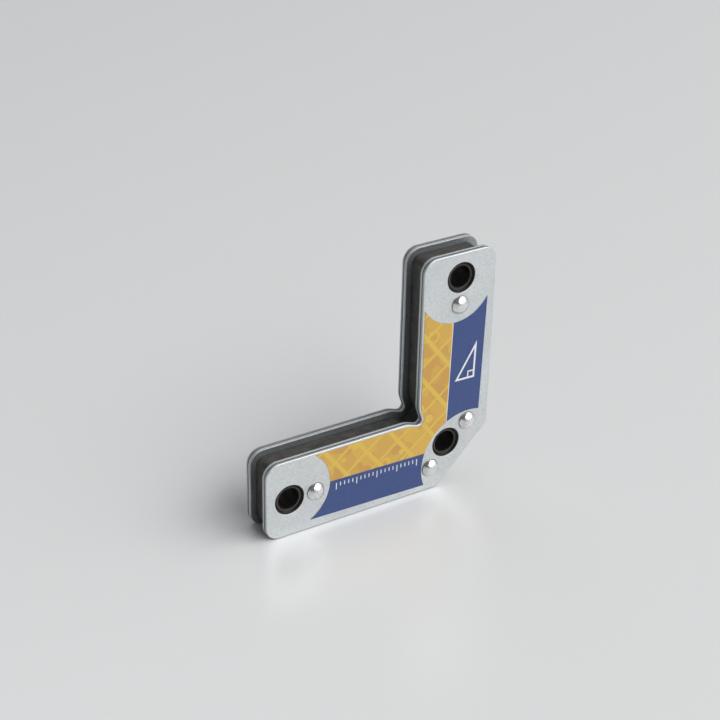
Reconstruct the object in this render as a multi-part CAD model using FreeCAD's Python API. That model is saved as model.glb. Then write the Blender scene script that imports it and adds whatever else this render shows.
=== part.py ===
import FreeCAD, Part
import math
import os

# Frame: millimetres, +Z up. The square stands on its base arm.
# X runs along the base arm, with the outer corner at +X. The labelled front faces -Y.
# The origin is under the middle of the base arm, halfway through the thickness.

# Outline of the pole sheets
ARM_LENGTH = 109.4
ARM_WIDTH = 35.8
CHAMFER_LEG = 25.0
CHAMFER_ROUND = 5.0
OUTER_END_ROUND = 6.5
INNER_END_ROUND = 6.5

# Relief in the inside corner
RELIEF_RUN = 5.5
RELIEF_DEPTH = 2.9
RELIEF_ROUND = 2.0
RELIEF_BLEND = 9.0

# Sheet stack
SHEET = 1.6
CORE = 10.0
SHEET_STACK = 2.0 * SHEET
THICKNESS = CORE + 2.0 * SHEET_STACK
FACE_ROUND = 0.45
SEAM_ROUND = 0.4
HOLE_ROUND = 0.2
FRONT_Y = -THICKNESS / 2.0
REAR_Y = THICKNESS / 2.0
SHEETS = {
    "front_outer_sheet": (FRONT_Y, FRONT_Y + SHEET),
    "front_inner_sheet": (FRONT_Y + SHEET, FRONT_Y + SHEET_STACK),
    "rear_inner_sheet": (REAR_Y - SHEET_STACK, REAR_Y - SHEET),
    "rear_outer_sheet": (REAR_Y - SHEET, REAR_Y),
}

# Core frame
CORE_INSET = 3.0

# Bushes
BORE_RADIUS = 4.75
BUSH_RADIUS = 6.7
BUSH_CLEARANCE = 0.1
BUSH_SETBACK = 0.1
MOUTH_RADIUS = 6.4
MOUTH_FLOOR_RADIUS = 5.7
MOUTH_DEPTH = 0.8
BORE_LEAD_IN = 0.3
END_BUSH_FROM_EDGE = 17.35
END_BUSH_FROM_END = 11.05
CORNER_BUSH_FROM_EDGE = 21.25

# Rivets
RIVET_SHANK_RADIUS = 2.4
RIVET_HOLE_RADIUS = RIVET_SHANK_RADIUS + 0.1
RIVET_HEAD_RADIUS = 4.0
RIVET_HEAD_HEIGHT = 2.8
RIVET_HEAD_RIM = 0.4
END_RIVET_FROM_EDGE = 17.4
END_RIVET_FROM_END = 23.4
CORNER_RIVET_NEAR = 10.7
CORNER_RIVET_FAR = 28.9

# Magnets, one in each arm, placed between the inside corner and the end rivet
MAGNET_SIDE_WALL = 2.5
MAGNET_START = ARM_WIDTH + 3.5
MAGNET_END_WALL = 4.3
MAGNET_WIDTH = ARM_WIDTH - 2.0 * (CORE_INSET + MAGNET_SIDE_WALL)
MAGNET_END = ARM_LENGTH - END_RIVET_FROM_END - RIVET_HOLE_RADIUS - MAGNET_END_WALL
MAGNET_LENGTH = MAGNET_END - MAGNET_START
MAGNET_CENTRE = (MAGNET_START + MAGNET_END) / 2.0
POCKET_CLEARANCE = 0.1

# Label
LABEL_THICKNESS = 0.15
LABEL_TILT = -1.35
LABEL_EDGE_MARGIN = 1.0
LABEL_UPRIGHT_SPAN = (5.7, 36.9)
LABEL_BASE_SPAN = (2.3, 33.6)
LABEL_END_ARC_RADIUS = 18.1
LABEL_UPRIGHT_ARC = (21.4, ARM_LENGTH - 13.5)
LABEL_BASE_ARC = (ARM_LENGTH - 11.8, 18.0)
LABEL_CORNER_ARC = (10.9, 11.0)
LABEL_CORNER_ARC_RADIUS = 22.9

# Places, each as (X, Z)
CORNER_X = ARM_LENGTH / 2.0


def place(from_side, from_bottom):
    """Turn distances from the two working edges into (X, Z)."""
    return (CORNER_X - from_side, from_bottom)


BUSHES = {
    "corner_bush": place(CORNER_BUSH_FROM_EDGE, CORNER_BUSH_FROM_EDGE),
    "upright_bush": place(END_BUSH_FROM_EDGE, ARM_LENGTH - END_BUSH_FROM_END),
    "base_bush": place(ARM_LENGTH - END_BUSH_FROM_END, END_BUSH_FROM_EDGE),
}
RIVETS = (
    place(END_RIVET_FROM_EDGE, ARM_LENGTH - END_RIVET_FROM_END),
    place(ARM_LENGTH - END_RIVET_FROM_END, END_RIVET_FROM_EDGE),
    place(CORNER_RIVET_NEAR, CORNER_RIVET_FAR),
    place(CORNER_RIVET_FAR, CORNER_RIVET_NEAR),
)
MAGNETS = {
    "upright_magnet": (place(ARM_WIDTH / 2.0, MAGNET_CENTRE), MAGNET_WIDTH, MAGNET_LENGTH),
    "base_magnet": (place(MAGNET_CENTRE, ARM_WIDTH / 2.0), MAGNET_LENGTH, MAGNET_WIDTH),
}


def outline_corners():
    """Corners of the L outline as (X, Z, round), counter-clockwise from the base arm's end."""
    inner_x = CORNER_X - ARM_WIDTH
    inner_z = ARM_WIDTH
    return [
        (-CORNER_X, 0.0, OUTER_END_ROUND),
        (CORNER_X - CHAMFER_LEG, 0.0, CHAMFER_ROUND),
        (CORNER_X, CHAMFER_LEG, CHAMFER_ROUND),
        (CORNER_X, ARM_LENGTH, OUTER_END_ROUND),
        (inner_x, ARM_LENGTH, INNER_END_ROUND),
        (inner_x, inner_z + RELIEF_RUN, RELIEF_BLEND),
        (inner_x + RELIEF_DEPTH, inner_z - RELIEF_DEPTH, RELIEF_ROUND),
        (inner_x - RELIEF_RUN, inner_z, RELIEF_BLEND),
        (-CORNER_X, inner_z, INNER_END_ROUND),
    ]


def unit(start, end):
    """Unit direction in the XZ plane from one corner to another."""
    dx = end[0] - start[0]
    dz = end[1] - start[1]
    length = math.hypot(dx, dz)
    return (dx / length, dz / length)


def inset_corners(corners, inset):
    """Move every side of a counter-clockwise outline inwards and trim the rounds to suit."""
    moved = []
    for index, (x, z, radius) in enumerate(corners):
        before = unit(corners[index - 1], (x, z))
        after = unit((x, z), corners[(index + 1) % len(corners)])
        turn = before[0] * after[1] - before[1] * after[0]
        along = (before[0] * after[0] + before[1] * after[1] - 1.0) / turn
        new_x = x + inset * (-before[1] + along * before[0])
        new_z = z + inset * (before[0] + along * before[1])
        side = 1.0 if turn > 0.0 else -1.0
        moved.append((new_x, new_z, radius - side * inset))
    return moved


def rounded_face(corners, y):
    """Flat face at height y from corners that each carry their own round."""
    stops = []
    for index, (x, z, radius) in enumerate(corners):
        before = unit(corners[index - 1], (x, z))
        after = unit((x, z), corners[(index + 1) % len(corners)])
        turn = math.acos(before[0] * after[0] + before[1] * after[1])
        reach = radius * math.tan(turn / 2.0)
        bulge = radius * (1.0 / math.cos(turn / 2.0) - 1.0)
        inward = unit(before, after)
        start = FreeCAD.Vector(x - before[0] * reach, y, z - before[1] * reach)
        middle = FreeCAD.Vector(x + inward[0] * bulge, y, z + inward[1] * bulge)
        end = FreeCAD.Vector(x + after[0] * reach, y, z + after[1] * reach)
        stops.append((start, middle, end))
    edges = []
    for index, (start, middle, end) in enumerate(stops):
        edges.append(Part.makeLine(stops[index - 1][2], start))
        edges.append(Part.Arc(start, middle, end).toShape())
    return Part.Face(Part.Wire(edges))


def plate(corners, y, thickness):
    """Rounded outline raised from y towards the rear."""
    return rounded_face(corners, y).extrude(FreeCAD.Vector(0.0, thickness, 0.0))


def cylinder(centre, radius, y, length):
    """Cylinder along Y, starting at y."""
    base = FreeCAD.Vector(centre[0], y, centre[1])
    return Part.makeCylinder(radius, length, base, FreeCAD.Vector(0.0, 1.0, 0.0))


def cut_through(solid, holes, y, length):
    """Cut round holes, given as (centre, radius), through a solid."""
    tools = [cylinder(centre, radius, y, length) for centre, radius in holes]
    return solid.cut(tools)


def stack_holes(bush_clearance):
    """Every round hole that the stack has, as (centre, radius)."""
    bush_holes = [(centre, BUSH_RADIUS + bush_clearance) for centre in BUSHES.values()]
    rivet_holes = [(centre, RIVET_HOLE_RADIUS) for centre in RIVETS]
    return bush_holes + rivet_holes


def edges_at(solid, y):
    """Edges of a solid that lie in the plane at y."""
    flat = [edge for edge in solid.Edges if edge.BoundBox.YLength < 1e-3]
    return [edge for edge in flat if abs(edge.BoundBox.Center.y - y) < 1e-6]


def is_bush_hole(edge):
    """Tell the full circle round a bush from every other edge."""
    circle = isinstance(edge.Curve, Part.Circle)
    return circle and abs(edge.Curve.Radius - BUSH_RADIUS - BUSH_CLEARANCE) < 1e-6


def pole_sheet(low_y, high_y):
    """One stamped sheet, with its cut edges rounded most where they face outwards."""
    sheet = plate(outline_corners(), low_y, high_y - low_y)
    for y in (low_y, high_y):
        is_outside = y in (FRONT_Y, REAR_Y)
        radius = FACE_ROUND if is_outside else SEAM_ROUND
        sheet = sheet.makeFillet(radius, edges_at(sheet, y))
    sheet = cut_through(sheet, stack_holes(BUSH_CLEARANCE), low_y, high_y - low_y)
    for y in (FRONT_Y, REAR_Y):
        rims = [edge for edge in edges_at(sheet, y) if is_bush_hole(edge)]
        if rims:
            sheet = sheet.makeFillet(HOLE_ROUND, rims)
    return sheet


def core_frame():
    """Moulded spacer with a pocket for each magnet; the bushes are a press fit in it."""
    body = plate(inset_corners(outline_corners(), CORE_INSET), -CORE / 2.0, CORE)
    for centre, width, height in MAGNETS.values():
        body = body.cut(block(centre, width, height, POCKET_CLEARANCE))
    return cut_through(body, stack_holes(0.0), -CORE / 2.0, CORE)


def block(centre, width, height, margin=0.0):
    """Block as thick as the core, grown sideways by a margin."""
    low_x = centre[0] - width / 2.0 - margin
    low_z = centre[1] - height / 2.0 - margin
    base = FreeCAD.Vector(low_x, -CORE / 2.0, low_z)
    return Part.makeBox(width + 2.0 * margin, CORE, height + 2.0 * margin, base)


def revolve_about_y(profile, centre):
    """Turn a closed profile of (radius, y) points about the Y axis through a centre."""
    points = [FreeCAD.Vector(centre[0] + radius, y, centre[1]) for radius, y in profile]
    face = Part.Face(Part.makePolygon(points + points[:1]))
    axis = FreeCAD.Vector(0.0, 1.0, 0.0)
    return face.revolve(FreeCAD.Vector(centre[0], 0.0, centre[1]), axis, 360.0)


def bush(centre):
    """Tube with a countersunk mouth and a flat ledge at both ends."""
    end = THICKNESS / 2.0 - BUSH_SETBACK
    ledge = end - MOUTH_DEPTH
    front_half = [
        (BORE_RADIUS, -ledge + BORE_LEAD_IN),
        (BORE_RADIUS + BORE_LEAD_IN, -ledge),
        (MOUTH_FLOOR_RADIUS, -ledge),
        (MOUTH_RADIUS, -end),
        (BUSH_RADIUS, -end),
    ]
    rear_half = [(radius, -y) for radius, y in reversed(front_half)]
    return revolve_about_y(front_half + rear_half, centre)


def rivet_head(centre, side):
    """Domed head with a short straight rim, on the front (-1) or the rear (+1)."""
    face_y = side * THICKNESS / 2.0
    dome = RIVET_HEAD_HEIGHT - RIVET_HEAD_RIM
    sphere_radius = (RIVET_HEAD_RADIUS ** 2 + dome ** 2) / (2.0 * dome)
    ball_y = face_y + side * (RIVET_HEAD_HEIGHT - sphere_radius)
    ball = Part.makeSphere(sphere_radius, FreeCAD.Vector(centre[0], ball_y, centre[1]))
    low_y = min(face_y, face_y + side * RIVET_HEAD_HEIGHT)
    return ball.common(cylinder(centre, RIVET_HEAD_RADIUS, low_y, RIVET_HEAD_HEIGHT))


def rivet(centre):
    """One rivet: shank through the stack and a head on both faces."""
    shank = cylinder(centre, RIVET_SHANK_RADIUS, -THICKNESS / 2.0, THICKNESS)
    heads = [rivet_head(centre, side) for side in (-1.0, 1.0)]
    return shank.fuse(heads).removeSplitter()


def label_blank(y):
    """L-shaped label with its end and corner arcs, before it is laid on the sheet."""
    outer_x = CORNER_X - LABEL_UPRIGHT_SPAN[0]
    inner_x = CORNER_X - LABEL_UPRIGHT_SPAN[1]
    low_z, high_z = LABEL_BASE_SPAN
    corners = [
        (-CORNER_X, low_z),
        (outer_x, low_z),
        (outer_x, ARM_LENGTH),
        (inner_x, ARM_LENGTH),
        (inner_x, high_z),
        (-CORNER_X, high_z),
    ]
    points = [FreeCAD.Vector(x, y, z) for x, z in corners]
    outline = Part.Face(Part.makePolygon(points + points[:1]))
    blank = outline.extrude(FreeCAD.Vector(0.0, LABEL_THICKNESS, 0.0))
    arcs = [
        (place(*LABEL_UPRIGHT_ARC), LABEL_END_ARC_RADIUS),
        (place(*LABEL_BASE_ARC), LABEL_END_ARC_RADIUS),
        (place(*LABEL_CORNER_ARC), LABEL_CORNER_ARC_RADIUS),
    ]
    return cut_through(blank, arcs, y, LABEL_THICKNESS)


def label():
    """Label laid slightly askew on the front sheet and trimmed to its flat face."""
    y = -THICKNESS / 2.0 - LABEL_THICKNESS
    blank = label_blank(y)
    pivot = FreeCAD.Vector(CORNER_X, 0.0, 0.0)
    blank.rotate(pivot, FreeCAD.Vector(0.0, -1.0, 0.0), LABEL_TILT)
    flat = plate(inset_corners(outline_corners(), LABEL_EDGE_MARGIN), y, LABEL_THICKNESS)
    pieces = blank.common(flat).Solids
    return max(pieces, key=lambda piece: piece.Volume)


def save(name, shape):
    """Write one node."""
    shape.exportStep(os.path.join("parts", name + ".step"))


def main():
    os.makedirs("parts", exist_ok=True)
    for name, (low_y, high_y) in SHEETS.items():
        save(name, pole_sheet(low_y, high_y))
    save("core_frame", core_frame())
    for name, (centre, width, height) in MAGNETS.items():
        save(name, block(centre, width, height))
    for name, centre in BUSHES.items():
        save(name, bush(centre))
    save("rivets", Part.makeCompound([rivet(centre) for centre in RIVETS]))
    save("label", label())


main()
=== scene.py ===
"""Looks of a magnetic welding square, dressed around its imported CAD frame.

The sheets, the core, the magnets, the bushes and the rivets keep their CAD
meshes and get a finish each. The printed label replaces its CAD blank with the
same film cut into its colour fields, and its white marks are a thin piece on it.
Lengths are metres where a name doesn't end in _mm, Z is up and the labelled
front faces -Y.
"""

import logging
import math
from abc import ABC, abstractmethod
from dataclasses import dataclass, field
from enum import Enum

import bmesh
import bpy
from mathutils import Matrix, Vector


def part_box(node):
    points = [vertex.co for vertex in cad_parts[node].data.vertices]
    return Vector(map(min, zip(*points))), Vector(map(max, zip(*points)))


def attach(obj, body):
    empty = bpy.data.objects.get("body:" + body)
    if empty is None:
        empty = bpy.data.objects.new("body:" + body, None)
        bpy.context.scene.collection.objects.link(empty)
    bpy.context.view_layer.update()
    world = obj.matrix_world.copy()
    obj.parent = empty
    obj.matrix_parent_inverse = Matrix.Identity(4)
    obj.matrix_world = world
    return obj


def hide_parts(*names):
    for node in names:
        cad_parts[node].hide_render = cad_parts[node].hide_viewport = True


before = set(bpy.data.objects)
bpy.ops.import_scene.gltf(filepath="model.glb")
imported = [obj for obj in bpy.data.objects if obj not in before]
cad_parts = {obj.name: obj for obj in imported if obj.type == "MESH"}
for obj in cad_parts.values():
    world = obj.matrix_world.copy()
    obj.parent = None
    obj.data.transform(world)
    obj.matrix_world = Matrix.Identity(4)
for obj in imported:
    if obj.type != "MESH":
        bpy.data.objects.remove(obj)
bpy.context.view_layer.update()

LOG = logging.getLogger("welding_square")
BODY = "root"
MM = 0.001
MERGE_DISTANCE = 1e-7

# Sockets of a Mix node go by number, because several share one name.
FACTOR, FLOAT_A, FLOAT_B, VECTOR_A, VECTOR_B, COLOUR_A, COLOUR_B = 0, 2, 3, 4, 5, 6, 7
MIXED_FLOAT, MIXED_VECTOR, MIXED_COLOUR = 0, 1, 2

Inputs = dict[str | int, object]
Layer = tuple[bpy.types.NodeSocket, str | bpy.types.NodeSocket]


def linear(code: str) -> tuple[float, float, float, float]:
    """Turn an sRGB hex colour into the linear colour that a shader takes.

    Args:
        code: colour as "#RRGGBB".

    Returns:
        Linear red, green and blue, and an alpha of 1.
    """
    shares = [int(code[i : i + 2], 16) / 255 for i in (1, 3, 5)]
    red, green, blue = (
        share / 12.92 if share <= 0.04045 else ((share + 0.055) / 1.055) ** 2.4
        for share in shares
    )
    return red, green, blue, 1.0


def per_metre(size_mm: float) -> float:
    """Return how many features of this size, in millimetres, fit in a metre."""
    return 1 / (size_mm * MM)


def add_node(
    tree: bpy.types.NodeTree,
    kind: str,
    inputs: Inputs | None = None,
    **settings: object,
) -> bpy.types.Node:
    """Add one node with its settings, values and links.

    Args:
        tree: node tree of a material or of the world.
        kind: type name of the node, after the "ShaderNode" that starts them all.
        inputs: socket name or index, to its value or to the output that feeds it.
        **settings: attributes of the node, such as its operation.

    Returns:
        The new node.
    """
    node = tree.nodes.new("ShaderNode" + kind)
    for name, value in settings.items():
        setattr(node, name, value)
    for key, value in (inputs or {}).items():
        if isinstance(value, bpy.types.NodeSocket):
            tree.links.new(value, node.inputs[key])
        else:
            node.inputs[key].default_value = value
    return node


def limits(
    low: float = 0.0, high: float = 1.0, at_low: float = 0.0, at_high: float = 1.0
) -> Inputs:
    """Name the limits of a mapped range by its node's sockets.

    Args:
        low: value where the range starts.
        high: value where it ends.
        at_low: result at and before its start.
        at_high: result at and after its end.

    Returns:
        The four limits as inputs.
    """
    return {"From Min": low, "From Max": high, "To Min": at_low, "To Max": at_high}


def mesh_object(
    name: str, form: bmesh.types.BMesh, materials: list[bpy.types.Material]
) -> bpy.types.Object:
    """Put a form into the scene as an object, and free the form.

    Args:
        name: name of the object and of its mesh.
        form: the form in mesh code.
        materials: the materials of the object's slots, in order.

    Returns:
        The new object.
    """
    mesh = bpy.data.meshes.new(name)
    form.to_mesh(mesh)
    form.free()
    for material in materials:
        mesh.materials.append(material)
    made = bpy.data.objects.new(name, mesh)
    bpy.context.scene.collection.objects.link(made)
    return made


@dataclass(frozen=True)
class Surface:
    """What a finish draws: a base colour, the layers over it and its gloss and relief.

    A layer is the share of the surface that it covers, and its colour.
    """

    base: str
    layers: tuple[Layer, ...]
    inputs: Inputs


@dataclass(frozen=True)
class Finish(ABC):
    """One real material with the way its surface was made."""

    name: str

    def material(self) -> bpy.types.Material:
        """Build the finish as a new material.

        Returns:
            The material, with one shader that takes the surface that the finish draws.
        """
        made = bpy.data.materials.new(self.name)
        made.use_nodes = True
        tree = made.node_tree
        tree.nodes.clear()
        surface = self.shade(tree, add_node(tree, "TexCoord"))
        colour = linear(surface.base)
        for share, over in surface.layers:
            mixed = add_node(
                tree,
                "Mix",
                {
                    FACTOR: share,
                    COLOUR_A: colour,
                    COLOUR_B: linear(over) if isinstance(over, str) else over,
                },
                data_type="RGBA",
            )
            colour = mixed.outputs[MIXED_COLOUR]
        shader = add_node(
            tree, "BsdfPrincipled", {"Base Color": colour, **surface.inputs}
        )
        add_node(tree, "OutputMaterial", {"Surface": shader.outputs["BSDF"]})
        return made

    @staticmethod
    def y_size(
        tree: bpy.types.NodeTree, vector: bpy.types.NodeSocket
    ) -> bpy.types.NodeSocket:
        """Measure a vector along Y, through the object's thickness.

        Args:
            tree: node tree of the material.
            vector: a place on the object, or its normal there.

        Returns:
            The output that gives the size of the vector's Y part.
        """
        parts = add_node(tree, "SeparateXYZ", {"Vector": vector})
        size = add_node(tree, "Math", {0: parts.outputs["Y"]}, operation="ABSOLUTE")
        return size.outputs[0]

    @abstractmethod
    def shade(self, tree: bpy.types.NodeTree, place: bpy.types.Node) -> Surface:
        """Draw the surface.

        Args:
            tree: node tree of the material.
            place: texture coordinates, used for the place on the object and its normal.

        Returns:
            The surface for the material's shader.
        """


@dataclass(frozen=True)
class ZincPlatedSteel(Finish):
    """Cold rolled steel sheet, stamped out and then bright zinc plated.

    The eye sees a pale, slightly blue satin metal: short grain along the rolling
    direction, a fine peppering of pits, faint hair scratches from use, a duller
    sheared edge with marks across it, and dirt in the seam between the sheets.
    Creases where two parts meet get painted shade: a dark, less metallic colour.
    """

    name: str = "zinc_plated_steel"
    plate: str = "#E0E3E4"
    streak: str = "#CACED0"
    pit: str = "#85898B"
    burnished: str = "#C8CBCD"
    torn: str = "#85888A"
    # Dark colour of the painted shade in creases and of the dirt in the seam.
    painted_shade_and_dirt: str = "#2B2927"
    stack_start: float = 0.005  # from the middle of the thickness
    sheet: float = 0.0016
    burnished_share: float = 0.5
    tear_blend: float = 0.1
    least_torn: float = 0.1
    cloud_mm: float = 14.0
    cloud_share: float = 0.35
    grain_width_mm: float = 0.5  # drawn coarser than real, which is under 0.1 mm
    grain_run_mm: float = 1.2
    grain_turn: float = math.radians(-40)
    pit_spacing_mm: float = 1.3
    pit_raggedness: float = 0.0003
    shear_mark_mm: float = 0.45
    shear_mark_stretch: float = 5.0
    scratch_width_mm: float = 0.4
    scratch_run_mm: float = 30.0
    scratch_turn: float = math.radians(32)
    scratch_gloss: float = 0.15
    # How far the painted shade reaches out of a crease.
    painted_shade_reach_mm: float = 1.0
    seam_dirt_mm: float = 0.3
    seam_core: float = 0.4
    edge_dulling: float = 0.22
    relief_mm: float = 0.03
    roughness: float = 0.4

    def shade(self, tree: bpy.types.NodeTree, place: bpy.types.Node) -> Surface:
        """Draw grain, pits, scratches, sheared edges, seam dirt and painted shade.

        Args:
            tree: node tree of the material.
            place: texture coordinates of the surface.

        Returns:
            The surface for the material's shader.
        """
        spot = place.outputs["Object"]
        clouds = add_node(
            tree,
            "TexNoise",
            {"Vector": spot, "Scale": per_metre(self.cloud_mm), "Detail": 3.0},
        )
        along = add_node(
            tree,
            "Mapping",
            {
                "Vector": spot,
                "Rotation": (0.0, self.grain_turn, 0.0),
                "Scale": (
                    self.grain_width_mm * MM,
                    self.grain_width_mm * MM,
                    self.grain_run_mm * MM,
                ),
            },
            vector_type="TEXTURE",
        )
        grain = add_node(
            tree,
            "TexNoise",
            {
                "Vector": along.outputs["Vector"],
                "Scale": 1.0,
                "Detail": 3.0,
                "Roughness": 0.65,
            },
        )
        ragged = add_node(
            tree,
            "Mix",
            {
                FACTOR: self.pit_raggedness,
                VECTOR_A: spot,
                VECTOR_B: grain.outputs["Color"],
            },
            data_type="VECTOR",
        )
        cells = add_node(
            tree,
            "TexVoronoi",
            {
                "Vector": ragged.outputs[MIXED_VECTOR],
                "Scale": per_metre(self.pit_spacing_mm),
            },
        )
        pits = add_node(
            tree,
            "MapRange",
            {"Value": cells.outputs["Distance"], **limits(0.06, 0.22, 0.8, 0.0)},
            interpolation_type="SMOOTHSTEP",
        )
        patches = add_node(
            tree,
            "MapRange",
            {"Value": clouds.outputs["Fac"], **limits(0.42, 0.62, 0.15)},
        )
        peppered = add_node(
            tree,
            "Math",
            {0: pits.outputs[0], 1: patches.outputs[0]},
            operation="MULTIPLY",
        )
        slanted = add_node(
            tree,
            "Mapping",
            {
                "Vector": spot,
                "Rotation": (0.0, self.scratch_turn, 0.0),
                "Scale": (
                    self.scratch_width_mm * MM,
                    self.scratch_width_mm * MM,
                    self.scratch_run_mm * MM,
                ),
            },
            vector_type="TEXTURE",
        )
        hairs = add_node(
            tree,
            "TexNoise",
            {"Vector": slanted.outputs["Vector"], "Scale": 1.0, "Detail": 1.0},
        )
        scratches = add_node(
            tree,
            "MapRange",
            {"Value": hairs.outputs["Fac"], **limits(0.68, 0.74, 0.0, 0.6)},
        )
        # Faces have a normal along Y, sheared edges have one across it.
        facing = self.y_size(tree, place.outputs["Normal"])
        edge = add_node(
            tree,
            "MapRange",
            {"Value": facing, **limits(0.5, 0.99, 1.0, 0.0)},
            interpolation_type="SMOOTHSTEP",
        )
        across = add_node(
            tree,
            "Mapping",
            {
                "Vector": spot,
                "Scale": (
                    per_metre(self.shear_mark_mm),
                    per_metre(self.shear_mark_mm * self.shear_mark_stretch),
                    per_metre(self.shear_mark_mm),
                ),
            },
        )
        marks = add_node(
            tree,
            "TexNoise",
            {"Vector": across.outputs["Vector"], "Scale": 1.0, "Detail": 2.0},
        )
        # Painted shade: ambient occlusion darkens creases and the feet of parts.
        crease = add_node(
            tree, "AmbientOcclusion", {"Distance": self.painted_shade_reach_mm * MM}, samples=8
        )
        painted_shade = add_node(
            tree,
            "MapRange",
            {"Value": crease.outputs["AO"], **limits(0.4, 0.85, 0.95, 0.0)},
            interpolation_type="SMOOTHSTEP",
        )
        depth = self.y_size(tree, spot)
        # The seam between the two sheets of a stack gets dirt and painted shade.
        off_seam = add_node(
            tree,
            "Math",
            {0: depth, 1: self.stack_start + self.sheet},
            operation="SUBTRACT",
        )
        seam_way = add_node(
            tree, "Math", {0: off_seam.outputs[0]}, operation="ABSOLUTE"
        )
        seam = self.seam_dirt_mm * MM
        in_seam = add_node(
            tree,
            "MapRange",
            {
                "Value": seam_way.outputs[0],
                **limits(seam * self.seam_core, seam, 1.0, 0.0),
            },
            interpolation_type="SMOOTHSTEP",
        )
        painted_shade_and_seam_dirt = add_node(
            tree,
            "Math",
            {0: painted_shade.outputs[0], 1: in_seam.outputs[0]},
            operation="MAXIMUM",
        )
        mixed = add_node(
            tree,
            "Math",
            {0: clouds.outputs["Fac"], 1: self.cloud_share, 2: grain.outputs["Fac"]},
            operation="MULTIPLY_ADD",
        )
        streaks = add_node(
            tree, "MapRange", {"Value": mixed.outputs[0], **limits(0.48, 0.9)}
        )
        # A stamped edge is burnished where the punch came in and torn after it.
        into_stack = add_node(
            tree, "Math", {0: depth, 1: self.stack_start}, operation="SUBTRACT"
        )
        into_sheet = add_node(
            tree, "Math", {0: into_stack.outputs[0], 1: self.sheet}, operation="MODULO"
        )
        tear = (1 - self.burnished_share) * self.sheet
        blend = self.tear_blend * self.sheet
        tearing = add_node(
            tree,
            "MapRange",
            {
                "Value": into_sheet.outputs[0],
                **limits(tear - blend, tear + blend, 1.0, self.least_torn),
            },
            interpolation_type="SMOOTHSTEP",
        )
        torn = add_node(
            tree,
            "Math",
            {0: tearing.outputs[0], 1: marks.outputs["Fac"], 2: self.least_torn},
            operation="MULTIPLY_ADD",
        )
        sheared = add_node(
            tree,
            "Mix",
            {
                FACTOR: torn.outputs[0],
                COLOUR_A: linear(self.burnished),
                COLOUR_B: linear(self.torn),
            },
            data_type="RGBA",
        )
        metal = add_node(
            tree, "MapRange", {"Value": painted_shade_and_seam_dirt.outputs[0], **limits(0.0, 1.0, 1.0, 0.2)}
        )
        satin = add_node(
            tree,
            "MapRange",
            {
                "Value": grain.outputs["Fac"],
                **limits(0.25, 0.75, self.roughness - 0.06, self.roughness + 0.08),
            },
        )
        rubbed = add_node(
            tree,
            "Math",
            {0: scratches.outputs[0], 1: -self.scratch_gloss, 2: satin.outputs[0]},
            operation="MULTIPLY_ADD",
        )
        gloss = add_node(
            tree,
            "Math",
            {0: edge.outputs[0], 1: self.edge_dulling, 2: rubbed.outputs[0]},
            operation="MULTIPLY_ADD",
        )
        relief = add_node(
            tree,
            "Mix",
            {
                FACTOR: edge.outputs[0],
                FLOAT_A: grain.outputs["Fac"],
                FLOAT_B: marks.outputs["Fac"],
            },
            data_type="FLOAT",
        )
        bump = add_node(
            tree,
            "Bump",
            {
                "Height": relief.outputs[MIXED_FLOAT],
                "Strength": 0.4,
                "Distance": self.relief_mm * MM,
            },
        )
        return Surface(
            base=self.streak,
            layers=(
                (streaks.outputs[0], self.plate),
                (peppered.outputs[0], self.pit),
                (edge.outputs[0], sheared.outputs[MIXED_COLOUR]),
                # Painted shade in creases, and dirt in the seam.
                (painted_shade_and_seam_dirt.outputs[0], self.painted_shade_and_dirt),
            ),
            inputs={
                "Metallic": metal.outputs[0],
                "Roughness": gloss.outputs[0],
                "Normal": bump.outputs["Normal"],
            },
        )


@dataclass(frozen=True)
class MouldedNylon(Finish):
    """Glass filled black nylon, injection moulded in a spark eroded tool.

    The eye sees a charcoal surface with a fine even tooth, small light flecks
    where glass fibre and workshop dust sit in it, and a little unevenness in
    its dull sheen.
    """

    name: str = "moulded_black_nylon"
    body: str = "#2E2C2B"
    worn: str = "#54504C"
    fleck: str = "#8C8A85"
    tooth_mm: float = 0.5
    patch_mm: float = 3.5
    fleck_spacing_mm: float = 1.6
    relief_mm: float = 0.06
    ior: float = 1.53
    roughness: float = 0.55

    def shade(self, tree: bpy.types.NodeTree, place: bpy.types.Node) -> Surface:
        """Draw a toothed charcoal surface and light flecks.

        Args:
            tree: node tree of the material.
            place: texture coordinates of the surface.

        Returns:
            The surface for the material's shader.
        """
        spot = place.outputs["Object"]
        tooth = add_node(
            tree,
            "TexNoise",
            {
                "Vector": spot,
                "Scale": per_metre(self.tooth_mm),
                "Detail": 3.0,
                "Roughness": 0.6,
            },
        )
        patches = add_node(
            tree,
            "TexNoise",
            {
                "Vector": spot,
                "Scale": per_metre(self.patch_mm),
                "Detail": 5.0,
                "Roughness": 0.6,
            },
        )
        cells = add_node(
            tree,
            "TexVoronoi",
            {"Vector": spot, "Scale": per_metre(self.fleck_spacing_mm)},
        )
        flecks = add_node(
            tree,
            "MapRange",
            {"Value": cells.outputs["Distance"], **limits(0.05, 0.11, 0.7, 0.0)},
            interpolation_type="SMOOTHSTEP",
        )
        wear = add_node(
            tree, "MapRange", {"Value": patches.outputs["Fac"], **limits(0.4, 0.72)}
        )
        gloss = add_node(
            tree,
            "MapRange",
            {
                "Value": patches.outputs["Fac"],
                **limits(0.3, 0.7, self.roughness - 0.08, self.roughness + 0.12),
            },
        )
        bump = add_node(
            tree,
            "Bump",
            {
                "Height": tooth.outputs["Fac"],
                "Strength": 0.5,
                "Distance": self.relief_mm * MM,
            },
        )
        return Surface(
            base=self.body,
            layers=((wear.outputs[0], self.worn), (flecks.outputs[0], self.fleck)),
            inputs={
                "IOR": self.ior,
                "Roughness": gloss.outputs[0],
                "Normal": bump.outputs["Normal"],
            },
        )


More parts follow.
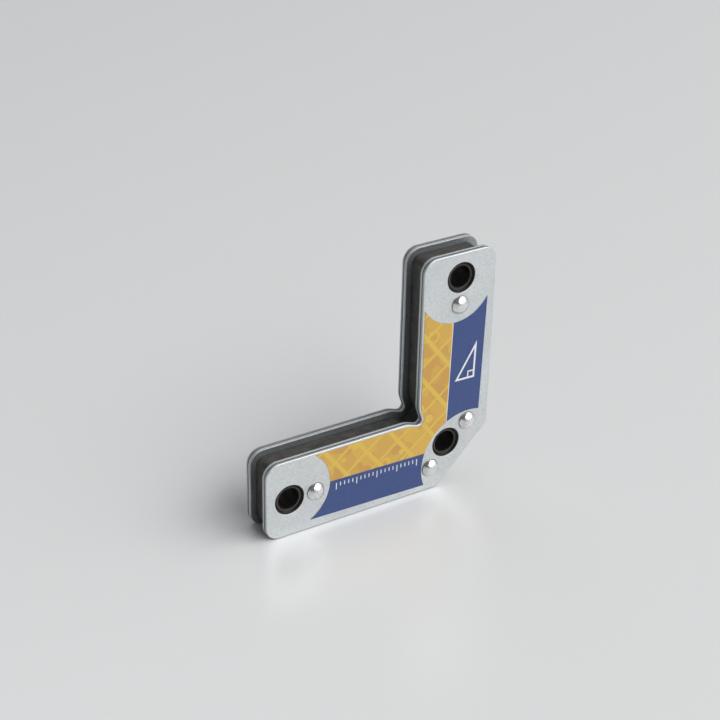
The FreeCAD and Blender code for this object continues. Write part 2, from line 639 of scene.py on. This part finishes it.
@dataclass(frozen=True)
class TurnedBushPlastic(Finish):
    """Black acetal rod, turned to a bush with a countersunk mouth.

    The eye sees a darker, glossier black than the core, with very fine rings
    from the turning tool, a faint bloom, and a lighter flat ledge in its mouth
    whose colour is partly dust and partly a painted highlight.
    """

    name: str = "turned_black_acetal"
    body: str = "#100F0E"
    bloom: str = "#201D1B"
    # Lighter colour of the ledge: dust and a painted highlight.
    dust: str = "#45413E"
    ledge_depth: float = 0.0073  # from the middle of the thickness
    ledge_margin: float = 0.0001
    ring_mm: float = 0.3
    bloom_mm: float = 3.0
    relief_mm: float = 0.03
    ior: float = 1.48
    shine: float = 0.2  # oil and soot dull it
    roughness: float = 0.46

    def shade(self, tree: bpy.types.NodeTree, place: bpy.types.Node) -> Surface:
        """Draw a glossy black, tool rings and a dusty bloom.

        Args:
            tree: node tree of the material.
            place: texture coordinates of the surface.

        Returns:
            The surface for the material's shader.
        """
        spot = place.outputs["Object"]
        rings = add_node(
            tree,
            "Mapping",
            {
                "Vector": spot,
                "Scale": (
                    per_metre(self.bloom_mm),
                    per_metre(self.ring_mm),
                    per_metre(self.bloom_mm),
                ),
            },
        )
        turned = add_node(
            tree,
            "TexNoise",
            {
                "Vector": rings.outputs["Vector"],
                "Scale": 1.0,
                "Detail": 2.0,
                "Roughness": 0.5,
            },
        )
        dust = add_node(
            tree,
            "TexNoise",
            {
                "Vector": spot,
                "Scale": per_metre(self.bloom_mm),
                "Detail": 6.0,
                "Roughness": 0.7,
            },
        )
        haze = add_node(
            tree,
            "MapRange",
            {"Value": dust.outputs["Fac"], **limits(0.42, 0.75, 0.0, 0.7)},
        )
        # The ledge is the flat ring that lies just below the mouth. Its lighter colour
        # is partly dust and partly a painted highlight.
        facing = self.y_size(tree, place.outputs["Normal"])
        flat = add_node(tree, "MapRange", {"Value": facing, **limits(0.85, 0.95)})
        depth = self.y_size(tree, spot)
        top = self.ledge_depth + self.ledge_margin
        below = add_node(
            tree,
            "MapRange",
            {"Value": depth, **limits(top, top + self.ledge_margin * 2, 0.9, 0.0)},
        )
        ledge = add_node(
            tree,
            "Math",
            {0: flat.outputs[0], 1: below.outputs[0]},
            operation="MULTIPLY",
        )
        gloss = add_node(
            tree,
            "MapRange",
            {
                "Value": dust.outputs["Fac"],
                **limits(0.3, 0.7, self.roughness - 0.08, self.roughness + 0.14),
            },
        )
        bump = add_node(
            tree,
            "Bump",
            {
                "Height": turned.outputs["Fac"],
                "Strength": 0.25,
                "Distance": self.relief_mm * MM,
            },
        )
        return Surface(
            base=self.body,
            layers=((haze.outputs[0], self.bloom), (ledge.outputs[0], self.dust)),
            inputs={
                "IOR": self.ior,
                "Specular IOR Level": self.shine,
                "Roughness": gloss.outputs[0],
                "Normal": bump.outputs["Normal"],
            },
        )


@dataclass(frozen=True)
class NickelPlatedSteel(Finish):
    """Bright nickel plated steel, set with a cup shaped rivet snap.

    The eye sees a bright mirror that is softened by tiny dents from the snap
    and by fingerprints. A dark line round the foot of the head is painted shade.
    """

    name: str = "bright_nickel_plate"
    plate: str = "#E6E6E6"
    tarnish: str = "#CBCBCA"
    # Dark colour of the painted shade round the foot of the head.
    painted_shade_and_dirt: str = "#33302E"
    painted_shade_reach_mm: float = 1.4
    dent_mm: float = 1.1
    print_mm: float = 1.8
    relief_mm: float = 0.05
    roughness: float = 0.16

    def shade(self, tree: bpy.types.NodeTree, place: bpy.types.Node) -> Surface:
        """Draw a bright plate, tarnish, small dents and painted shade at the foot.

        Args:
            tree: node tree of the material.
            place: texture coordinates of the surface.

        Returns:
            The surface for the material's shader.
        """
        spot = place.outputs["Object"]
        prints = add_node(
            tree,
            "TexNoise",
            {
                "Vector": spot,
                "Scale": per_metre(self.print_mm),
                "Detail": 5.0,
                "Roughness": 0.65,
            },
        )
        dents = add_node(
            tree,
            "TexNoise",
            {
                "Vector": spot,
                "Scale": per_metre(self.dent_mm),
                "Detail": 2.0,
                "Roughness": 0.5,
            },
        )
        dull = add_node(
            tree, "MapRange", {"Value": prints.outputs["Fac"], **limits(0.4, 0.72)}
        )
        # Painted shade: ambient occlusion darkens the foot of the head.
        crease = add_node(
            tree, "AmbientOcclusion", {"Distance": self.painted_shade_reach_mm * MM}, samples=8
        )
        painted_shade = add_node(
            tree,
            "MapRange",
            {"Value": crease.outputs["AO"], **limits(0.5, 0.82, 0.95, 0.0)},
            interpolation_type="SMOOTHSTEP",
        )
        gloss = add_node(
            tree,
            "MapRange",
            {
                "Value": prints.outputs["Fac"],
                **limits(0.35, 0.7, self.roughness - 0.04, self.roughness + 0.12),
            },
        )
        bump = add_node(
            tree,
            "Bump",
            {
                "Height": dents.outputs["Fac"],
                "Strength": 0.4,
                "Distance": self.relief_mm * MM,
            },
        )
        return Surface(
            base=self.plate,
            layers=((dull.outputs[0], self.tarnish), (painted_shade.outputs[0], self.painted_shade_and_dirt)),
            inputs={
                "Metallic": 1.0,
                "Roughness": gloss.outputs[0],
                "Normal": bump.outputs["Normal"],
            },
        )


@dataclass(frozen=True)
class GroundFerrite(Finish):
    """Sintered ferrite, ground flat on a surface grinder.

    The eye sees a dark charcoal ceramic with straight fine grinding lines and
    small chipped pores.
    """

    name: str = "ground_sintered_ferrite"
    body: str = "#3A3B3D"
    line: str = "#4A4B4D"
    pore: str = "#232324"
    line_mm: float = 0.3
    run_mm: float = 12.0
    pore_spacing_mm: float = 1.5
    relief_mm: float = 0.03
    roughness: float = 0.5

    def shade(self, tree: bpy.types.NodeTree, place: bpy.types.Node) -> Surface:
        """Draw grinding lines and pores.

        Args:
            tree: node tree of the material.
            place: texture coordinates of the surface.

        Returns:
            The surface for the material's shader.
        """
        spot = place.outputs["Object"]
        along = add_node(
            tree,
            "Mapping",
            {
                "Vector": spot,
                "Scale": (
                    per_metre(self.run_mm),
                    per_metre(self.line_mm),
                    per_metre(self.line_mm),
                ),
            },
        )
        lines = add_node(
            tree,
            "TexNoise",
            {
                "Vector": along.outputs["Vector"],
                "Scale": 1.0,
                "Detail": 2.0,
                "Roughness": 0.5,
            },
        )
        cells = add_node(
            tree,
            "TexVoronoi",
            {"Vector": spot, "Scale": per_metre(self.pore_spacing_mm)},
        )
        pores = add_node(
            tree,
            "MapRange",
            {"Value": cells.outputs["Distance"], **limits(0.08, 0.16, 1.0, 0.0)},
        )
        gloss = add_node(
            tree,
            "MapRange",
            {
                "Value": lines.outputs["Fac"],
                **limits(0.0, 1.0, self.roughness - 0.1, self.roughness + 0.1),
            },
        )
        bump = add_node(
            tree,
            "Bump",
            {
                "Height": lines.outputs["Fac"],
                "Strength": 0.4,
                "Distance": self.relief_mm * MM,
            },
        )
        return Surface(
            base=self.body,
            layers=((lines.outputs["Fac"], self.line), (pores.outputs[0], self.pore)),
            inputs={"Roughness": gloss.outputs[0], "Normal": bump.outputs["Normal"]},
        )


@dataclass(frozen=True)
class PrintedFilm(Finish):
    """Polyester film, screen printed in one ink and laminated.

    The eye sees an even ink under a clear satin skin that is very slightly
    wavy, with a fine mottle in the ink and rubbed patches in the skin.
    """

    name: str = "printed_film"
    ink: str = "#2D4176"
    thin_ink: str = "#3A5083"
    mottle_mm: float = 1.2
    wave_mm: float = 5.0
    relief_mm: float = 0.1
    ior: float = 1.5
    roughness: float = 0.32

    def ink_layers(
        self, tree: bpy.types.NodeTree, place: bpy.types.Node
    ) -> tuple[Layer, ...]:
        """Draw the mottle of the ink.

        Args:
            tree: node tree of the material.
            place: texture coordinates of the film.

        Returns:
            The layers over the ink's own colour.
        """
        mottle = add_node(
            tree,
            "TexNoise",
            {
                "Vector": place.outputs["Object"],
                "Scale": per_metre(self.mottle_mm),
                "Detail": 4.0,
                "Roughness": 0.6,
            },
        )
        share = add_node(
            tree,
            "MapRange",
            {"Value": mottle.outputs["Fac"], **limits(0.35, 0.7, 0.0, 0.5)},
        )
        return ((share.outputs[0], self.thin_ink),)

    def shade(self, tree: bpy.types.NodeTree, place: bpy.types.Node) -> Surface:
        """Draw the ink and the clear skin over it.

        Args:
            tree: node tree of the material.
            place: texture coordinates of the surface.

        Returns:
            The surface for the material's shader.
        """
        waves = add_node(
            tree,
            "TexNoise",
            {
                "Vector": place.outputs["Object"],
                "Scale": per_metre(self.wave_mm),
                "Detail": 3.0,
                "Roughness": 0.5,
            },
        )
        gloss = add_node(
            tree,
            "MapRange",
            {
                "Value": waves.outputs["Fac"],
                **limits(0.3, 0.7, self.roughness - 0.03, self.roughness + 0.05),
            },
        )
        bump = add_node(
            tree,
            "Bump",
            {
                "Height": waves.outputs["Fac"],
                "Strength": 0.2,
                "Distance": self.relief_mm * MM,
            },
        )
        return Surface(
            base=self.ink,
            layers=self.ink_layers(tree, place),
            inputs={
                "IOR": self.ior,
                "Roughness": gloss.outputs[0],
                "Normal": bump.outputs["Normal"],
            },
        )


@dataclass(frozen=True)
class LatticeFilm(PrintedFilm):
    """The same film printed tone on tone, in amber and yellow.

    The eye sees amber tiles of uneven strength under a lattice of yellow bars
    and rings. Their half widths, soft edges and radii are shares of their gaps.
    """

    name: str = "printed_film_lattice"
    ink: str = "#D0AF4A"
    tile: str = "#BF8F47"
    turn: float = math.radians(38)
    tile_mm: float = 7.5
    bar_gap_mm: float = 12.5
    bar_half: float = 0.07
    tie_gap_mm: float = 9.0
    tie_half: float = 0.05
    ring_gap_mm: float = 10.0
    ring_scatter: float = 0.6
    ring_radius: float = 0.25
    ring_half: float = 0.035
    soft_edge: float = 0.01

    def stripes(
        self,
        tree: bpy.types.NodeTree,
        place: bpy.types.NodeSocket,
        gap_mm: float,
        half_width: float,
    ) -> bpy.types.NodeSocket:
        """Draw even stripes across one coordinate.

        Args:
            tree: node tree of the material.
            place: the coordinate, in metres.
            gap_mm: distance from one stripe's middle to the next.
            half_width: half a stripe's width, as a share of that distance.

        Returns:
            The output that is 1 on a stripe and 0 between two.
        """
        wave = add_node(
            tree, "Math", {0: place, 1: gap_mm * MM / 2}, operation="PINGPONG"
        )
        half, soft = half_width * gap_mm * MM, self.soft_edge * gap_mm * MM
        share = add_node(
            tree,
            "MapRange",
            {"Value": wave.outputs[0], **limits(half, half + soft, 1.0, 0.0)},
        )
        return share.outputs[0]

    def ink_layers(
        self, tree: bpy.types.NodeTree, place: bpy.types.Node
    ) -> tuple[Layer, ...]:
        """Draw the tiles and the lattice over them.

        Args:
            tree: node tree of the material.
            place: texture coordinates of the film.

        Returns:
            The layers over the ink's own colour.
        """
        flat = add_node(
            tree,
            "Mapping",
            {
                "Vector": place.outputs["Object"],
                "Rotation": (0.0, self.turn, 0.0),
                "Scale": (1.0, 0.0, 1.0),
            },
        )
        tiles = add_node(
            tree,
            "TexVoronoi",
            {"Vector": flat.outputs["Vector"], "Scale": per_metre(self.tile_mm)},
            distance="MANHATTAN",
        )
        strength = add_node(tree, "SeparateXYZ", {"Vector": tiles.outputs["Color"]})
        spots = add_node(
            tree,
            "TexVoronoi",
            {
                "Vector": flat.outputs["Vector"],
                "Scale": per_metre(self.ring_gap_mm),
                "Randomness": self.ring_scatter,
            },
        )
        off_ring = add_node(
            tree,
            "Math",
            {0: spots.outputs["Distance"], 1: self.ring_radius},
            operation="SUBTRACT",
        )
        ring_way = add_node(
            tree, "Math", {0: off_ring.outputs[0]}, operation="ABSOLUTE"
        )
        rings = add_node(
            tree,
            "MapRange",
            {
                "Value": ring_way.outputs[0],
                **limits(self.ring_half, self.ring_half + self.soft_edge, 1.0, 0.0),
            },
        )
        run = add_node(tree, "SeparateXYZ", {"Vector": flat.outputs["Vector"]})
        bars = self.stripes(tree, run.outputs["X"], self.bar_gap_mm, self.bar_half)
        ties = self.stripes(tree, run.outputs["Z"], self.tie_gap_mm, self.tie_half)
        lattice = add_node(tree, "Math", {0: bars, 1: ties}, operation="MAXIMUM")
        drawn = add_node(
            tree,
            "Math",
            {0: lattice.outputs[0], 1: rings.outputs[0]},
            operation="MAXIMUM",
        )
        amber = add_node(
            tree, "MapRange", {"Value": strength.outputs["X"], **limits(0.0, 1.0, 0.35)}
        )
        return ((amber.outputs[0], self.tile), (drawn.outputs[0], self.ink))


BLUE_PRINT = PrintedFilm(name="printed_film_blue")
WHITE_PRINT = PrintedFilm(name="printed_film_white", ink="#DFE1E3", thin_ink="#D2D4D6")


class Node(Enum):
    """CAD nodes that keep their mesh."""

    FRONT_OUTER_SHEET = "front_outer_sheet"
    FRONT_INNER_SHEET = "front_inner_sheet"
    REAR_INNER_SHEET = "rear_inner_sheet"
    REAR_OUTER_SHEET = "rear_outer_sheet"
    CORE_FRAME = "core_frame"
    UPRIGHT_MAGNET = "upright_magnet"
    BASE_MAGNET = "base_magnet"
    CORNER_BUSH = "corner_bush"
    UPRIGHT_BUSH = "upright_bush"
    BASE_BUSH = "base_bush"
    RIVETS = "rivets"


def dress(nodes: tuple[Node, ...], finish: Finish) -> None:
    """Give CAD nodes one finish through their material slots.

    Args:
        nodes: the CAD nodes that share the finish.
        finish: the finish that they get.
    """
    material = finish.material()
    for node in nodes:
        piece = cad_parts[node.value]
        for slot in piece.material_slots:
            slot.material = material
        LOG.info("%s: %s", piece.name, finish.name)


@dataclass
class PoleSheets:
    """Two stacks of two stamped sheets that carry the magnets' pull."""

    outer: tuple[Node, ...] = (Node.FRONT_OUTER_SHEET, Node.REAR_OUTER_SHEET)
    inner: tuple[Node, ...] = (Node.FRONT_INNER_SHEET, Node.REAR_INNER_SHEET)
    outer_finish: Finish = field(default_factory=ZincPlatedSteel)
    # A darker copy of the zinc finish: painted shade on the sheets in the gap.
    inner_finish: Finish = field(
        default_factory=lambda: ZincPlatedSteel(
            name="zinc_plated_steel_painted_shade",
            plate="#ADB2B4",
            streak="#8D9395",
            pit="#6A6F72",
            burnished="#E6E9EA",
            torn="#A9ACAE",
            roughness=0.5,
        )
    )

    def build(self) -> None:
        """Dress the outer sheets, and the inner ones darker with painted shade in the
        gap.
        """
        dress(self.outer, self.outer_finish)
        dress(self.inner, self.inner_finish)


@dataclass
class Core:
    """Moulded frame between the stacks, with the block magnets in its pockets."""

    frame_finish: Finish = field(default_factory=MouldedNylon)
    magnet_finish: Finish = field(default_factory=GroundFerrite)

    def build(self) -> None:
        """Dress the frame and its two magnets."""
        dress((Node.CORE_FRAME,), self.frame_finish)
        dress((Node.UPRIGHT_MAGNET, Node.BASE_MAGNET), self.magnet_finish)


@dataclass
class Fixings:
    """Three bushes and four dome head rivets that run through both stacks."""

    bushes: tuple[Node, ...] = (Node.CORNER_BUSH, Node.UPRIGHT_BUSH, Node.BASE_BUSH)
    bush_finish: Finish = field(default_factory=TurnedBushPlastic)
    rivet_finish: Finish = field(default_factory=NickelPlatedSteel)

    def build(self) -> None:
        """Dress the bushes and the rivets."""
        dress(self.bushes, self.bush_finish)
        dress((Node.RIVETS,), self.rivet_finish)


class PrintField(Enum):
    """Fields of the label, by the place of their finish in the piece's slots."""

    BLUE = 0
    YELLOW = 1
    WHITE = 2


@dataclass(frozen=True)
class LabelAxes:
    """Axes of the label, which was stuck on slightly askew."""

    pivot: Vector = field(default_factory=lambda: Vector((0.0547, 0.0, 0.0)))
    tilt: float = math.radians(1.35)

    def to_label(self, point: Vector) -> Vector:
        """Return a point of the frame in the label's axes."""
        return Matrix.Rotation(-self.tilt, 3, "Y") @ (point - self.pivot)

    def to_frame(self, point: Vector) -> Vector:
        """Return a point of the label's axes in the frame."""
        return Matrix.Rotation(self.tilt, 3, "Y") @ point + self.pivot

    def turned(self, direction: Vector) -> Vector:
        """Return a direction of the label's axes in the frame."""
        return Matrix.Rotation(self.tilt, 3, "Y") @ direction


@dataclass
class Label:
    """Printed film on the front face, with its fields cut along their borders."""

    node: str = "label"
    name: str = "printed_label"
    slot: str = "label_film"
    axes: LabelAxes = field(default_factory=LabelAxes)
    upright_border: float = -0.0224
    base_border: float = 0.0182
    white_line: float = 0.0003

    def cut(self, film: bmesh.types.BMesh, point: Vector, normal: Vector) -> None:
        """Cut the film along a plane that is given in the label's axes.

        Args:
            film: the film's mesh.
            point: a point on the plane.
            normal: the plane's normal.
        """
        bmesh.ops.bisect_plane(
            film,
            geom=film.verts[:] + film.edges[:] + film.faces[:],
            plane_co=self.axes.to_frame(point),
            plane_no=self.axes.turned(normal),
        )

    def field_at(self, point: Vector) -> PrintField:
        """Find the field that holds a point of the film.

        Args:
            point: the point, in the frame.

        Returns:
            The field.
        """
        spot = self.axes.to_label(point)
        if spot.x > self.upright_border or spot.z < self.base_border:
            on_line = spot.x < self.upright_border + self.white_line
            if on_line and spot.z > self.base_border:
                return PrintField.WHITE
            return PrintField.BLUE
        return PrintField.YELLOW

    def build(self) -> bpy.types.Object:
        """Build the film with its fields.

        Returns:
            The film's object.
        """
        film = bmesh.new()
        film.from_mesh(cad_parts[self.node].data)
        bmesh.ops.remove_doubles(film, verts=film.verts[:], dist=MERGE_DISTANCE)
        across, up = Vector((1, 0, 0)), Vector((0, 0, 1))
        self.cut(film, across * self.upright_border, across)
        self.cut(film, across * (self.upright_border + self.white_line), across)
        self.cut(film, up * self.base_border, up)
        for face in film.faces:
            face.material_index = self.field_at(face.calc_center_median()).value
            face.smooth = False
        finishes = (BLUE_PRINT, LatticeFilm(), WHITE_PRINT)
        piece = mesh_object(self.name, film, [each.material() for each in finishes])
        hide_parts(self.node)
        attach(piece, BODY)
        LOG.info("%s: %d faces", piece.name, len(piece.data.polygons))
        return piece


@dataclass
class LabelMarks:
    """White marks on the blue fields: the outline of a set square and a scale.

    Places are in the label's axes, as x along the base and z up the upright.
    """

    name: str = "label_marks"
    slot: str = "label_film"
    axes: LabelAxes = field(default_factory=LabelAxes)
    lift: float = 0.00002
    sink: float = 0.00003
    stroke: float = 0.0009
    square_corner: tuple[float, float] = (-0.0098, 0.0500)
    square_width: float = 0.0088
    square_height: float = 0.0152
    corner_mark: float = 0.0030
    corner_stroke: float = 0.00063
    scale_start: float = -0.0765
    scale_step: float = 0.002
    scale_ticks: int = 21
    long_every: int = 5
    scale_top: float = 0.0166
    tick: float = 0.0018
    long_tick: float = 0.0032
    tick_stroke: float = 0.0004

    def sides(
        self, path: list[Vector], width: float, closed: bool
    ) -> list[tuple[Vector, Vector]]:
        """Return the two sides of a stroke at each point of its path, mitred.

        Args:
            path: middle of the stroke.
            width: the stroke's width.
            closed: whether the last point runs on to the first.

        Returns:
            One pair of points for each point of the path.
        """
        runs = [(b - a).normalized() for a, b in zip(path, path[1:] + path[:1])]
        pairs = []
        for index, spot in enumerate(path):
            before, after = runs[index - 1], runs[index]
            if not closed and index == 0:
                before = after
            if not closed and index == len(path) - 1:
                after = before
            across = (before + after).normalized().cross(Vector((0, 1, 0)))
            mitre = across.dot(after.cross(Vector((0, 1, 0))))
            reach = across * (width / 2 / mitre)
            pairs.append((spot + reach, spot - reach))
        return pairs

    def stroke_solid(
        self,
        marks: bmesh.types.BMesh,
        path: list[Vector],
        width: float,
        closed: bool = False,
    ) -> None:
        """Draw one stroke as a thin closed solid that stands just off the film.

        Args:
            marks: mesh that takes the stroke.
            path: middle of the stroke.
            width: the stroke's width.
            closed: whether the last point runs on to the first.
        """
        film_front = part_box("label")[0][1]
        levels = (film_front - self.lift, film_front + self.sink)
        rings = []
        for left, right in self.sides(path, width, closed):
            left, right = self.axes.to_frame(left), self.axes.to_frame(right)
            corners = (
                (left, levels[0]),
                (left, levels[1]),
                (right, levels[1]),
                (right, levels[0]),
            )
            rings.append([marks.verts.new((at.x, y, at.z)) for at, y in corners])
        following = rings[1:] + rings[:1] if closed else rings[1:]
        for near, far in zip(rings, following):
            for a, b in ((0, 1), (1, 2), (2, 3), (3, 0)):
                marks.faces.new((near[a], near[b], far[b], far[a]))
        if not closed:
            marks.faces.new(rings[0][::-1])
            marks.faces.new(rings[-1])

    def draw_set_square(self, marks: bmesh.types.BMesh) -> None:
        """Draw a set square with a small mark in its right angle.

        Args:
            marks: mesh that takes the strokes.
        """
        corner = Vector((self.square_corner[0], 0.0, self.square_corner[1]))
        along = Vector((-1.0, 0.0, 0.0))
        up = Vector((0.0, 0.0, 1.0))
        outline = [
            corner, corner + along * self.square_width, corner + up * self.square_height
        ]
        self.stroke_solid(marks, outline, self.stroke, closed=True)
        start = self.stroke / 2
        mark = [
            corner + along * self.corner_mark + up * start,
            corner + (along + up) * self.corner_mark,
            corner + up * self.corner_mark + along * start,
        ]
        self.stroke_solid(marks, mark, self.corner_stroke)

    def draw_scale(self, marks: bmesh.types.BMesh) -> None:
        """Draw a row of ticks, some of them long.

        Args:
            marks: mesh that takes the ticks.
        """
        for index in range(self.scale_ticks):
            x = self.scale_start + index * self.scale_step
            length = self.tick if index % self.long_every else self.long_tick
            top = Vector((x, 0.0, self.scale_top))
            tick = [top, top - Vector((0.0, 0.0, length))]
            self.stroke_solid(marks, tick, self.tick_stroke)

    def build(self) -> bpy.types.Object:
        """Build all marks as one piece.

        Returns:
            The marks' object.
        """
        marks = bmesh.new()
        self.draw_set_square(marks)
        self.draw_scale(marks)
        bmesh.ops.recalc_face_normals(marks, faces=marks.faces[:])
        piece = mesh_object(self.name, marks, [WHITE_PRINT.material()])
        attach(piece, BODY)
        LOG.info("%s: %d faces", piece.name, len(piece.data.polygons))
        return piece


@dataclass(frozen=True)
class PaintedBoard(Finish):
    """Pale lacquered board that the object stands on.

    The eye sees an even light grey with a weak, blurred reflection.
    """

    name: str = "pale_lacquered_board"
    paint: str = "#E3E4E4"
    roughness: float = 0.3

    def shade(self, tree: bpy.types.NodeTree, place: bpy.types.Node) -> Surface:
        """Draw an even pale paint.

        Args:
            tree: node tree of the material; not used.
            place: texture coordinates of the surface; not used.

        Returns:
            The surface for the material's shader.
        """
        return Surface(base=self.paint, layers=(), inputs={"Roughness": self.roughness})


@dataclass(frozen=True)
class Softbox:
    """One area lamp, far enough from the object to light it evenly.

    Azimuth and elevation are degrees, and azimuth runs from the front to the right.
    """

    name: str
    azimuth: float
    elevation: float
    distance: float
    width: float
    height: float
    radiance: float

    def build(self, aim: Vector) -> None:
        """Hang the lamp and turn it to its aim.

        Args:
            aim: the point that the lamp looks at.
        """
        turn, lift = math.radians(self.azimuth), math.radians(self.elevation)
        outward = Vector(
            (
                math.sin(turn) * math.cos(lift),
                -math.cos(turn) * math.cos(lift),
                math.sin(lift),
            )
        )
        lamp = bpy.data.lights.new(self.name, "AREA")
        lamp.shape = "ELLIPSE"
        lamp.size = self.width
        lamp.size_y = self.height
        area = math.pi / 4 * self.width * self.height
        lamp.energy = self.radiance * math.pi * area
        holder = bpy.data.objects.new(self.name, lamp)
        holder.location = aim + outward * self.distance
        holder.rotation_mode = "QUATERNION"
        holder.rotation_quaternion = (-outward).to_track_quat("-Z", "Y")
        bpy.context.scene.collection.objects.link(holder)
        LOG.info("%s: %.0f W", self.name, lamp.energy)


@dataclass
class Studio:
    """Pale floor, three large soft lamps, dim surroundings and the camera."""

    floor_half: float = 16.0
    floor_cells: int = 8
    floor_level: float = -0.00002
    sky: str = "#6B6D6F"
    horizon: str = "#CDCECF"
    far_floor: str = "#98999A"
    pale_height: float = 0.08
    dim_height: float = 0.38
    aim: Vector = field(default_factory=lambda: Vector((0.0, 0.0, 0.05)))
    lamps: tuple[Softbox, ...] = (
        Softbox(
            name="front_right_softbox",
            azimuth=42.0,
            elevation=37.0,
            distance=5.8,
            width=14.5,
            height=6.8,
            radiance=1.05,
        ),
        Softbox(
            name="front_right_bulb_glow",
            azimuth=33.0,
            elevation=46.0,
            distance=5.6,
            width=8.6,
            height=3.2,
            radiance=3.4,
        ),
        Softbox(
            name="rear_top_softbox",
            azimuth=170.0,
            elevation=55.0,
            distance=5.8,
            width=4.0,
            height=4.0,
            radiance=0.9,
        ),
    )
    eye: tuple[float, float, float] = (-0.332894, -0.508487, 0.395280)
    eye_right: tuple[float, float, float] = (0.846368, -0.532260, 0.019030)
    eye_up: tuple[float, float, float] = (0.239260, 0.411900, 0.879260)
    eye_back: tuple[float, float, float] = (-0.475840, -0.739630, 0.475970)
    lens: float = 84.318
    sensor: float = 36.0

    def build_floor(self) -> None:
        """Lay the floor as one large sheet."""
        board = bmesh.new()
        cells = self.floor_cells
        bmesh.ops.create_grid(
            board, x_segments=cells, y_segments=cells, size=self.floor_half
        )
        floor = mesh_object("floor", board, [PaintedBoard().material()])
        floor.location.z = self.floor_level

    def build_world(self) -> None:
        """Fill the surroundings with a dim grey, pale above the end of the floor."""
        world = bpy.data.worlds.new("studio")
        world.use_nodes = True
        tree = world.node_tree
        tree.nodes.clear()
        outward = add_node(tree, "TexCoord")
        parts = add_node(tree, "SeparateXYZ", {"Vector": outward.outputs["Generated"]})
        height = add_node(
            tree,
            "MapRange",
            {"Value": parts.outputs["Z"], **limits(self.pale_height, self.dim_height)},
            interpolation_type="SMOOTHSTEP",
        )
        lift = add_node(
            tree,
            "MapRange",
            {"Value": parts.outputs["Z"], **limits(0.0, self.pale_height)},
            interpolation_type="SMOOTHSTEP",
        )
        colour = linear(self.far_floor)
        for share, over in ((lift, self.horizon), (height, self.sky)):
            mixed = add_node(
                tree,
                "Mix",
                {FACTOR: share.outputs[0], COLOUR_A: colour, COLOUR_B: linear(over)},
                data_type="RGBA",
            )
            colour = mixed.outputs[MIXED_COLOUR]
        back = add_node(tree, "Background", {"Color": colour, "Strength": 1.0})
        add_node(tree, "OutputWorld", {"Surface": back.outputs["Background"]})
        bpy.context.scene.world = world

    def build_camera(self) -> None:
        """Put the camera where the photograph was taken from."""
        data = bpy.data.cameras.new("camera")
        data.lens = self.lens
        data.sensor_width = self.sensor
        camera = bpy.data.objects.new("camera", data)
        turn = Matrix((self.eye_right, self.eye_up, self.eye_back)).transposed()
        camera.matrix_world = Matrix.Translation(self.eye) @ turn.to_4x4()
        bpy.context.scene.collection.objects.link(camera)
        bpy.context.scene.camera = camera

    def build(self) -> None:
        """Build the whole studio."""
        self.build_floor()
        self.build_world()
        self.build_camera()
        for lamp in self.lamps:
            lamp.build(self.aim)
        bpy.context.scene.view_settings.view_transform = "Standard"


def main() -> None:
    """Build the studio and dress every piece."""
    logging.basicConfig(level=logging.INFO, format="%(message)s")
    Studio().build()
    PoleSheets().build()
    Core().build()
    Fixings().build()
    Label().build()
    LabelMarks().build()


if __name__ == "__main__":
    main()
